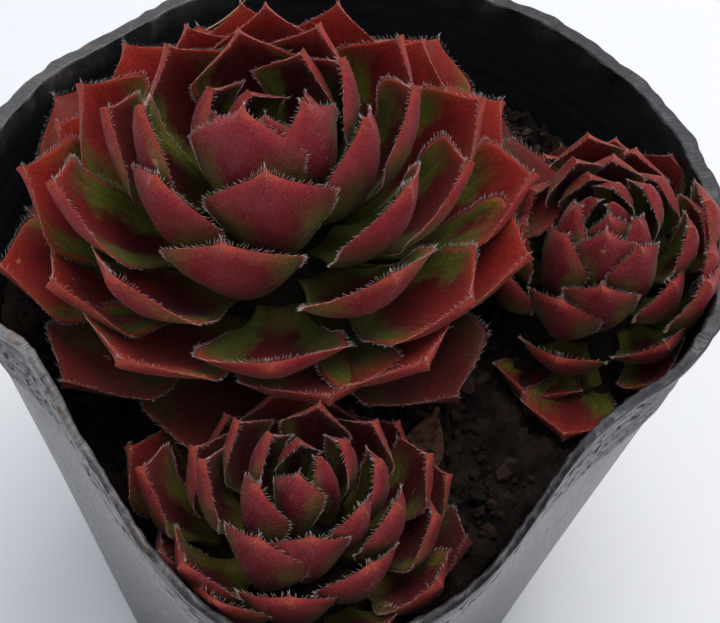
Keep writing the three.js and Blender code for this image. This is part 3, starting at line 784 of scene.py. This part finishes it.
def leaf_point(plant, plan, leaf, s, u, under):
    """Points on leaves in mm: s runs from root to point, u from margin (-1) to margin (1), and
    under is 0 on the upper face and 1 on the back. The middle line is a bent curve of three
    points; across it the upper face is a shallow V with soft ripples, and the back hangs below
    it by a lens shaped thickness that turns from round at the root to keeled at the point."""
    of = {key: value[leaf] for key, value in plan.items()}
    s, u, under = np.broadcast_arrays(s, u, under)
    early, late = (1 - s)[..., None], s[..., None]
    middle = early ** 2 * of["root"] + 2 * early * late * of["bend"] + late ** 2 * of["point"]
    along = unit(early * (of["bend"] - of["root"]) + late * (of["point"] - of["bend"]))
    wide = of["half"] * leaf_width(s)
    seed = of["index"] * 2.4
    wave = 0.045 * np.sin(9 * s + 3 * u + seed) + 0.03 * np.sin(17 * s - 2 * u + 1.7 * seed)
    edge = np.abs(u)
    hollow = np.minimum(edge ** 1.7 + 0.15 * edge, 1.05)
    body = of["thick"] * (1 - 0.55 * s)
    keel = 2.3 - 1.0 * s
    depth = body * np.clip(1 - edge ** keel, 0, 1) ** 0.62
    crown = 0.10 * body * np.clip(1 - edge ** 2, 0, 1) ** 0.5
    lift = of["cup"] * wide * hollow + wave * wide * edge + crown - under * (depth + crown)
    lift = lift + 0.05 * of["half"] * np.sin(2 * np.pi * s + seed) * s
    across = u * wide * (1 + 0.03 * np.sin(7 * s + np.sign(u) + seed))
    lean = of["roll"]
    up = lift * np.cos(lean) + across * np.sin(lean)
    shift = across * np.cos(lean) - lift * np.sin(lean)
    radial = middle[..., 0] - along[..., 1] * up
    level = middle[..., 1] + along[..., 0] * up
    cos, sin = np.cos(of["azimuth"]), np.sin(of["azimuth"])
    local = np.stack([cos * radial - sin * shift, sin * radial + cos * shift, level], -1)
    return stand(plant, local)


def stand(plant, local):
    """Leans a rosette's own points and puts them in the pot, clear of its wall and its soil."""
    tilt = Matrix.Rotation(math.radians(plant["lean"][0]), 3, "X") @ Matrix.Rotation(
        math.radians(plant["lean"][1]), 3, "Y")
    placed = local @ np.array(tilt).T
    placed = placed + (plant["middle"][0] + RIM_SHIFT, plant["middle"][1],
                       POT_HEIGHT + plant["tips"])
    x, y, z = placed[..., 0], placed[..., 1], placed[..., 2]
    z = np.maximum(z, soil_height(x - RIM_SHIFT, y) - STEM_SINK + 1)
    axis = RIM_SHIFT * np.minimum(z, POT_HEIGHT) / POT_HEIGHT
    angle = np.degrees(np.arctan2(y, x - axis))
    out = np.hypot(x - axis, y)
    limit = inner_radius(angle, np.minimum(z, POT_HEIGHT)) - WALL_TOUCH
    limit = limit + OVERHANG * np.clip(z - rim_height(angle) - 0.4, 0, None)
    held = np.minimum(1, limit / np.maximum(out, 1e-6))
    return np.stack([axis + (x - axis) * held, y * held, z], -1)


LEAF_ROWS = 30
LEAF_HALF_ROUND = 13


def leaf_grid(plant, plan):
    """Every leaf as a closed tube of rings: over the upper face from one margin to the other
    and back under it, with a point at the root and at the tip. Also the values that the leaf
    colour reads, a per-rosette painted shade among them, given here for the rings and for the two
    ends."""
    s = 1 - (1 - np.linspace(0.02, 0.985, LEAF_ROWS)) ** 1.15
    turn = np.linspace(0, np.pi, LEAF_HALF_ROUND, endpoint=False)
    u = np.concatenate([np.cos(turn), -np.cos(turn)])
    under = np.repeat([0.0, 1.0], LEAF_HALF_ROUND)
    under[0] = under[LEAF_HALF_ROUND] = 0.5
    leaf = plan["index"][:, None, None]
    tube = leaf_point(plant, plan, leaf, s[None, :, None], u[None, None], under[None, None])
    ends = leaf_point(plant, plan, plan["index"][:, None], np.array([[0.0, 1.0]]), 0.0, 0.3)
    leaves = plant["leaves"]
    points = np.concatenate([tube.reshape(leaves, -1, 3), ends], 1).reshape(-1, 3)
    age, tint = plan["age"][:, None], jitter(plan["index"], 7)[:, None]
    given = dict(along=(s[:, None], (0.0, 1.0)), across=(np.abs(u), 0.0), under=(under, 0.5),
                 age=(age[..., None], age), tint=(tint[..., None], tint),
                 unshaded=(plant["unshaded"], plant["unshaded"]))
    values = {label: np.concatenate([np.broadcast_to(on_rings, tube.shape[:3]).reshape(leaves, -1),
                                     np.broadcast_to(at_ends, (leaves, 2))], 1)
              for label, (on_rings, at_ends) in given.items()}
    return points, values


def leaf_faces(leaves):
    """Quads between the rings of each leaf and fans at its two ends, leaf after leaf."""
    columns = 2 * LEAF_HALF_ROUND
    each = LEAF_ROWS * columns + 2
    fans = np.concatenate(closing_fans(LEAF_ROWS, columns))
    return [repeated(grid_faces(LEAF_ROWS, columns), each, leaves), repeated(fans, each, leaves)]


# Leaf colour, with painted light and shade. Blush is the red of the tips and margins, with a
# painted glow of light through them; green shows at the flanks and roots, and the rest is a maroon
# that is darkest on the young inner leaves. The per-rosette value that the flesh, green and margins
# read is painted shade: 1 on the best lit rosette, lower on the shaded ones.
UPPER_YOUNG = (0.046, 0.0016, 0.0040)
# Shaded and unshaded pairs: the first of each pair is painted shade for the rosettes deeper in the
# pot.
UPPER_SHADED, UPPER_UNSHADED = (0.130, 0.0075, 0.0090), (0.310, 0.0175, 0.0150)
BACK_YOUNG = (0.215, 0.011, 0.025)
BACK_SHADED, BACK_UNSHADED = (0.155, 0.0090, 0.0130), (0.215, 0.0130, 0.0185)
MARGIN_SHADED = (0.24, 0.020, 0.018)
MARGIN_UPPER, MARGIN_BACK = (0.50, 0.044, 0.025), (0.30, 0.022, 0.022)
TIP_RED = (0.44, 0.075, 0.042)
MOTTLE_RED = (0.225, 0.013, 0.015)
# Painted shade towards the leaf roots.
ROOT_PAINTED_SHADE = (0.045, 0.0035, 0.0065)
LEAF_GREEN = (0.150, 0.180, 0.026)
VEIN_MAROON = (0.045, 0.004, 0.006)
RIDGE_PINK = (0.27, 0.060, 0.062)
# Painted shade on the oldest, lowest leaves.
LOW_LEAF_SHADE = (0.030, 0.010, 0.008)
SCAR_YELLOW = (0.42, 0.26, 0.07)
SPECKLE_MAROON = (0.035, 0.006, 0.006)
SCAR_SPACING = 7.0

leaf_colour, inward, outward_end = group(
    "leaf_colour_with_painted_light",
    {"Along": "value", "Across": "value", "Under": "value", "Age": "value", "Tint": "value",
     "Unshaded": "value", "Place": "vector"},
    {"Colour": "colour", "Blush": "value"})
along, across, under, age, tint, unshaded, spot = (
    inward.outputs[label] for label in ("Along", "Across", "Under", "Age", "Tint", "Unshaded", "Place"))
blotch = grain(leaf_colour, spot, 4.0, 3.0, 0.6)
mottle = grain(leaf_colour, spot, 0.9, 4.0, 0.65)
speckle = grain(leaf_colour, spot, 0.34, 2.0, 0.6)
lengthways = node_of(
    leaf_colour, "CombineXYZ", X=times(leaf_colour, across, 9 * MM), Y=times(leaf_colour, along, 3 * MM),
    Z=times(leaf_colour, tint, 40 * MM))
veins = grain(leaf_colour, lengthways.outputs[0], 1.0, 3.0, 0.6)
scars = node_of(leaf_colour, "TexVoronoi", Vector=spot, Scale=1 / (SCAR_SPACING * MM))

# The flesh itself, on the upper face and the back, young and grown, painted darker and duller on the
# shaded rosettes.
young = fade(leaf_colour, age, 0.10, 0.55, 1.0, 0.0)
upper_flesh = between(leaf_colour, young, between(leaf_colour, unshaded, UPPER_SHADED, UPPER_UNSHADED), UPPER_YOUNG)
back_flesh = between(leaf_colour, young, between(leaf_colour, unshaded, BACK_SHADED, BACK_UNSHADED), BACK_YOUNG)
flesh = between(leaf_colour, under, upper_flesh, back_flesh)

# Painted shade deepens the flesh towards the root, where the leaves overlap. Green lies along the
# flanks, fades towards the tip, and rings the root.
depth = fade(leaf_colour, plus(leaf_colour, along, times(leaf_colour, blotch, 0.3)), 0.50, 1.0, 0.75, 0.0)
uneven = plus(leaf_colour, across, times(leaf_colour, tint, 0.22),
              times(leaf_colour, calc(leaf_colour, "SUBTRACT", blotch, 0.5), 0.9))
flank = fade(leaf_colour, uneven, 0.36, 0.72)
basal = fade(leaf_colour, plus(leaf_colour, along, times(leaf_colour, tint, 0.12)), 0.62, 0.98, 1.0, 0.0)
green = times(leaf_colour, flank, basal, fade(leaf_colour, under, 0.2, 0.8, 1.0, 0.85),
              fade(leaf_colour, unshaded, 0.0, 1.0, 0.6, 1.0))
green = calc(leaf_colour, "MAXIMUM", green, fade(leaf_colour, along, 0.12, 0.34, 0.65, 0.0))

# Blush covers the tip and runs back along the margins, less on the back: red pigment with a painted
# glow of light shining through the thin tip and margins. A keel is paler along its ridge.
towards_tip = fade(leaf_colour, plus(leaf_colour, along, times(leaf_colour, across, 0.10)),
                   fade(leaf_colour, age, 0.3, 0.9, 0.84, 0.74), 1.06)
rim_line = times(leaf_colour, fade(leaf_colour, across, 0.88, 1.0), fade(leaf_colour, along, 0.35, 0.7),
                 fade(leaf_colour, under, 0.3, 0.9, 1.0, 0.35))
blush_and_glow = calc(leaf_colour, "MAXIMUM", towards_tip, times(leaf_colour, rim_line, 0.9))
margin = between(leaf_colour, under, MARGIN_UPPER, MARGIN_BACK)
margin = between(leaf_colour, unshaded, MARGIN_SHADED, margin)
red = between(leaf_colour, fade(leaf_colour, along, 0.90, 1.0), margin, TIP_RED)
veined = times(leaf_colour, fade(leaf_colour, veins, 0.38, 0.78, 0.0, 0.5),
               fade(leaf_colour, under, 0.2, 0.8, 1.0, 0.3))
ridge = times(leaf_colour, fade(leaf_colour, across, 0.0, 0.45, 1.0, 0.0),
              fade(leaf_colour, along, 0.50, 0.95), under, 0.3)
scarred = times(leaf_colour, fade(leaf_colour, scars.outputs["Distance"], 0.07, 0.10, 0.75, 0.0),
                fade(leaf_colour, blotch, 0.56, 0.60))

for share, colour in (
        (fade(leaf_colour, mottle, 0.42, 0.72, 0.0, 0.7), MOTTLE_RED),
        # painted shade towards the root
        (depth, ROOT_PAINTED_SHADE),
        (green, LEAF_GREEN),
        (veined, VEIN_MAROON),
        (ridge, RIDGE_PINK),
        (times(leaf_colour, blush_and_glow, 0.85), red),
        # painted shade on the oldest, lowest leaves
        (fade(leaf_colour, age, 0.86, 1.08, 0.0, 0.8), LOW_LEAF_SHADE),
        (scarred, SCAR_YELLOW),
        (fade(leaf_colour, speckle, 0.44, 0.68, 0.0, 0.45), SPECKLE_MAROON)):
    flesh = between(leaf_colour, share, flesh, colour)
feed(leaf_colour, outward_end, Colour=flesh, Blush=blush_and_glow)

# Bloom: the frosting of minute hairs that greys the flesh, thickest on the backs of leaves.
BLOOM_PINK = (0.55, 0.36, 0.36)
BLOOM_DOTS = 0.55
bloom, inward, outward_end = group(
    "leaf_bloom", {"Colour": "colour", "Place": "vector", "Amount": "value"}, {"Colour": "colour"})
spot = inward.outputs["Place"]
dots = node_of(bloom, "TexVoronoi", Vector=spot, Scale=1 / (BLOOM_DOTS * MM))
specks = fade(bloom, dots.outputs["Distance"], 0.10, 0.24, 1.0, 0.0)
haze = fade(bloom, grain(bloom, spot, 2.5, 3.0, 0.6), 0.3, 0.8, 0.15, 1.0)
cover = times(bloom, inward.outputs["Amount"],
              plus(bloom, times(bloom, haze, 0.22), times(bloom, specks, 0.28)))
feed(bloom, outward_end, Colour=between(bloom, cover, inward.outputs["Colour"], BLOOM_PINK))

leaf_finish, tree, shader = finish_of(
    "houseleek_leaf", Specular_IOR_Level=0.16, Subsurface_Weight=0.10, Subsurface_Scale=0.8 * MM,
    Subsurface_Radius=(1.0, 0.25, 0.15), Sheen_Weight=0.05, Sheen_Roughness=0.5)
spot = place_of(tree)
masks = {label.title(): value_of(tree, label)
         for label in ("along", "across", "under", "age", "tint", "unshaded")}
skin = use(tree, leaf_colour, Place=spot, **masks)
frosted = use(tree, bloom, Colour=skin["Colour"], Place=spot,
              Amount=plus(tree, 0.08, times(tree, masks["Under"], 0.20)))
pores = grain(tree, spot, 0.45, 3.0, 0.6)
feed(tree, shader, Base_Color=frosted["Colour"], Roughness=fade(tree, pores, 0.2, 0.8, 0.38, 0.6))
bumped(tree, shader, pores, 0.35, 0.12)

# The fringe: stiff, tapering white hairs of three sides, and much shorter ones on both faces.
HAIR_WHITE = (0.90, 0.78, 0.75)
HAIR_ROOT = (0.45, 0.13, 0.11)
FRINGE_STEP = 0.18
FRINGE_LENGTH = 1.0
FRINGE_THICK = 0.031
FRINGE_SHARE = 0.72                # the part of a margin, counted from the point, that is fringed
FRINGE_SUNK = 0.15
FRINGE_BEND = 0.28                 # spread of the hairs' random bends
FRINGE_LIFT = (0, 0, 0.2)          # they bend upwards a little
FUZZ_THICK = 0.013
FUZZ_SUNK = 0.08
FUZZ_PER_LEAF = 620                # on a leaf of FUZZ_LEAF_HALF half width
FUZZ_LEAF_HALF = 9.8

hair_finish, tree, shader = finish_of(
    "white_hair", Roughness=0.4, Specular_IOR_Level=0.5, Subsurface_Weight=0.2,
    Subsurface_Scale=0.4 * MM)
at_root = fade(tree, value_of(tree, "foot"), 0.0, 0.9)
feed(tree, shader, Base_Color=between(tree, at_root, HAIR_WHITE, HAIR_ROOT))


def hair_ring(way, beside, thickness):
    """Three points round each hair's own line, at a distance of thickness from it."""
    aside = unit(np.cross(way, beside))
    third = np.cross(way, aside)
    turn = (2 * np.pi * np.arange(3) / 3)[:, None]
    return (np.cos(turn) * aside[:, None] + np.sin(turn) * third[:, None]) * thickness


def hairs(root, way, length, bend):
    """Long hairs: each has a three sided ring at its root, another past half way, pushed over
    by a little bend, and a point pushed over further. Also 1 at roots fading to 0 at points."""
    way = unit(way)
    ring = hair_ring(way, bend, FRINGE_THICK)
    reach = length[:, None]
    low = root[:, None] + ring - way[:, None] * FRINGE_SUNK
    mid = (root + 0.55 * reach * way + 0.12 * reach * bend)[:, None] + ring * 0.62
    end = (root + reach * way + 0.45 * reach * bend)[:, None]
    side = np.array([(0, 1, 4, 3), (1, 2, 5, 4), (2, 0, 3, 5)])
    cap = np.array([(3, 4, 6), (4, 5, 6), (5, 3, 6), (2, 1, 0)])
    foot = np.tile([1, 1, 1, 0.35, 0.35, 0.35, 0.0], len(root))
    return (np.concatenate([low, mid, end], 1).reshape(-1, 3),
            [repeated(side, 7, len(root)), repeated(cap, 7, len(root))], foot)


def spikes(root, way, length):
    """Short hairs: three sided spikes, a ring at the root and a point. Also 0.6 at the roots."""
    way = unit(way)
    ring = hair_ring(way, (0.3, 0.5, 0.8), FUZZ_THICK)
    low = root[:, None] + ring - way[:, None] * FUZZ_SUNK
    end = (root + way * length[:, None])[:, None]
    face = np.array([(0, 1, 3), (1, 2, 3), (2, 0, 3), (2, 1, 0)])
    return (np.concatenate([low, end], 1).reshape(-1, 3), [repeated(face, 4, len(root))],
            np.tile([0.6, 0.6, 0.6, 0.0], len(root)))


def fringe(plant, plan, draw):
    """Roots, ways and lengths of the hairs along both margins of every leaf: they stand out
    from the edge, lean forwards, and form a tuft at the point."""
    roots, ways, lengths = [], [], []
    scale = 0.55 + 0.045 * plant["half_width"]
    for leaf in plan["index"]:
        count = int(FRINGE_SHARE * plan["length"][leaf] / FRINGE_STEP)
        s = 1 - FRINGE_SHARE * ((np.arange(count) + draw.uniform(0.1, 0.9, count)) / count) ** 1.15
        s = np.tile(s, 2)
        u = np.repeat([-1.0, 1.0], count)
        edge = leaf_point(plant, plan, leaf, s, u, 0.5)
        outwards = unit(edge - leaf_point(plant, plan, leaf, s, 0.9 * u, 0.5))
        onward = unit(leaf_point(plant, plan, leaf, np.minimum(s + 0.02, 1), u, 0.5) - edge)
        near_tip = np.clip((s - 0.93) / 0.07, 0, 1)[:, None]
        way = outwards * (1 - 0.5 * near_tip) + onward * (0.30 + 0.6 * near_tip)
        roots.append(edge)
        ways.append(way + draw.normal(0, 0.13, way.shape))
        length = FRINGE_LENGTH * scale * draw.uniform(0.55, 1.1, len(s))
        length *= 0.55 + 0.45 * np.clip((s - 0.28) / 0.3, 0, 1)
        lengths.append(length * (0.8 + 0.2 * plan["spread"][leaf]))
    return np.concatenate(roots), np.concatenate(ways), np.concatenate(lengths)


def fuzz(plant, plan, draw):
    """Roots, ways and lengths of the short hairs that stand on both faces of every leaf."""
    leaf = np.repeat(plan["index"], int(FUZZ_PER_LEAF * plant["half_width"] / FUZZ_LEAF_HALF))
    s = draw.uniform(0.35, 0.99, len(leaf))
    u = draw.uniform(-0.97, 0.97, len(leaf))
    under = (draw.uniform(0, 1, len(leaf)) < 0.5).astype(float)
    root = leaf_point(plant, plan, leaf, s, u, under)
    along = leaf_point(plant, plan, leaf, s + 0.01, u, under) - root
    across = leaf_point(plant, plan, leaf, s, u + 0.02, under) - root
    way = unit(np.cross(along, across) * np.where(under > 0.5, 1.0, -1.0)[:, None])
    return root, way + 0.25 * draw.normal(0, 1, way.shape), draw.uniform(0.18, 0.42, len(leaf))


# The axis and its stem are painted near black as shade, so that the axis reads as shadow in the gaps
# between the leaf roots.
AXIS_PAINTED_SHADE = (0.012, 0.009, 0.004)
AXIS_COLUMNS = 36
axis_shade_finish, _, _ = finish_of("axis_painted_shade", Base_Color=AXIS_PAINTED_SHADE, Roughness=0.9)


def axis_body(plant):
    """The thick axis that carries a rosette, turned from an outline that follows the roots of
    its leaves, and a straight stem from inside it down into the soil."""
    turn = np.linspace(0, 2 * np.pi, AXIS_COLUMNS, endpoint=False)

    def turned(radius, level):
        """Rings round an upright line, one for each radius and level."""
        return np.stack([radius[:, None] * np.cos(turn), radius[:, None] * np.sin(turn),
                         np.repeat(level[:, None], len(turn), 1)], -1)

    foot = plant["core_foot"]
    radius, level = root_outline(plant, np.linspace(1, 0, 12))
    axis = turned(np.concatenate([[0.05, 0.9 * plant["core"]], radius + 0.3, [0.05]]),
                  np.concatenate([[foot - 2, foot - 1.5], level, [plant["core_top"] + 0.3]]))
    low, high = SOIL_TOP - STEM_SINK + 1, POT_HEIGHT + plant["tips"] + foot + 1
    stem = turned(plant["stem"] * np.array([0.02, 1.0, 1.0, 0.02]), np.array([low, low, high, high]))
    return stand(plant, axis), stem + (plant["middle"][0] + RIM_SHIFT, plant["middle"][1], 0)


for name, plant in ROSETTES.items():
    plan = leaf_plan(plant)
    points, values = leaf_grid(plant, plan)
    rosette = make_piece(name + "_leaves", points, leaf_faces(plant["leaves"]), leaf_finish, **values)
    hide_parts(name)

    points, faces = [], []
    for rings in axis_body(plant):
        start = sum(map(len, points))
        faces += [block + start for block in closed_tube(len(rings), AXIS_COLUMNS)]
        points.append(rings.reshape(-1, 3))
    make_piece(name + "_axis", np.concatenate(points), faces, axis_shade_finish)

    draw = np.random.default_rng(plant["leaves"])
    root, way, length = fringe(plant, plan, draw)
    bend = draw.normal(0, FRINGE_BEND, root.shape) + FRINGE_LIFT
    body, faces, foot = hairs(root, way, length, bend)
    make_piece(name + "_fringe", body, faces, hair_finish, foot=foot)
    body, faces, foot = spikes(*fuzz(plant, plan, draw))
    make_piece(name + "_fuzz", body, faces, hair_finish, foot=foot)

# ---------------------------------------------------------------- dead leaves
# Two leaves that have dropped and dried on the soil: brown, papery, curled up at both ends. They
# lie loose on the surface in front of the large rosette.

DRY_THICK = 0.9
DRY_MAROON = (0.055, 0.020, 0.013)
DRY_BROWN = (0.17, 0.085, 0.050)
DRY_ROWS = 40
DRY_COLUMNS = 20
# Each as place on the soil, turn in degrees, length, half width and how far its ends curl up.
DEAD_LEAVES = {"dead_leaf_left": ((-15.0, -37.0), 175.0, 17.0, 3.2, 3.5),
               "dead_leaf_middle": ((12.0, -34.0), 70.0, 12.0, 3.0, 3.0)}

dry_finish, tree, shader = finish_of("dry_leaf", Roughness=0.8, Specular_IOR_Level=0.2)
streak = grain(tree, place_of(tree), 0.8, 4.0, 0.7)
feed(tree, shader, Base_Color=between(tree, fade(tree, streak, 0.3, 0.7), DRY_MAROON, DRY_BROWN))
bumped(tree, shader, streak, 0.8, 0.25)


def curled_leaf(at, turn, length, half_width, curl):
    """Rings round the leaf's length: the half width swells and shrinks as a sine, the height is
    the soil's plus a parabola that lifts both ends, and the margins wave and turn up."""
    s = np.linspace(0.02, 0.98, DRY_ROWS)[:, None]
    corner = np.linspace(0, 2 * np.pi, DRY_COLUMNS, endpoint=False)[None]
    u, fold = np.cos(corner), np.sin(corner)
    wide = half_width * np.sin(np.pi * np.clip(s + 0.06, 0, 0.97)) ** 0.8
    across = u * wide
    thick = 0.5 * DRY_THICK * (1 - 0.75 * u ** 2)
    level = (soil_height(*at) + DRY_THICK + curl * (2 * s - 0.9) ** 2 + 0.38 * np.abs(u) ** 1.5 * wide
             + 0.16 * np.sin(14 * s + 4 * u) * np.abs(u) + thick * fold - 0.5 * DRY_THICK)
    cos, sin = math.cos(math.radians(turn)), math.sin(math.radians(turn))
    reach = length * (s - 0.5) + 0 * u
    return np.stack([at[0] + RIM_SHIFT + cos * reach - sin * across,
                     at[1] + sin * reach + cos * across, level], -1).reshape(-1, 3)


for name, sizes in DEAD_LEAVES.items():
    dry = make_piece(name + "_curl", curled_leaf(*sizes), closed_tube(DRY_ROWS, DRY_COLUMNS),
                     dry_finish)
    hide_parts(name)

# ---------------------------------------------------------------- straw
# A dry grass straw, thinner than a pin, that has blown in: it hangs between the hairs of a leaf
# point of the large rosette and the inside of the wall.

STRAW_FROM = np.array([-20.3, 29.2, 97.3])
STRAW_TO = np.array([-14.7, 48.7, 90.3])
STRAW_SAG = 0.8
STRAW_RADIUS = 0.16
STRAW_ROWS = 24
STRAW_SIDES = 6
STRAW_YELLOW = (0.42, 0.27, 0.11)

# Rings along a straight line that sags as a parabola, a little thinner towards the far end.
s = np.linspace(0, 1, STRAW_ROWS)[:, None]
turn = np.linspace(0, 2 * np.pi, STRAW_SIDES, endpoint=False)[None]
line = STRAW_FROM + s * (STRAW_TO - STRAW_FROM)
line[:, 2] -= STRAW_SAG * 4 * (s * (1 - s))[:, 0]
thin = STRAW_RADIUS * (1 - 0.4 * s)
points = np.stack([line[:, :1] + thin * np.cos(turn), line[:, 1:2] + 0 * turn,
                   line[:, 2:] + thin * np.sin(turn)], -1)
straw_finish, _, _ = finish_of("dry_straw", Base_Color=STRAW_YELLOW, Roughness=0.6)
straw = make_piece("dry_straw", points.reshape(-1, 3),
                   [block[:, ::-1] for block in closed_tube(STRAW_ROWS, STRAW_SIDES)], straw_finish)
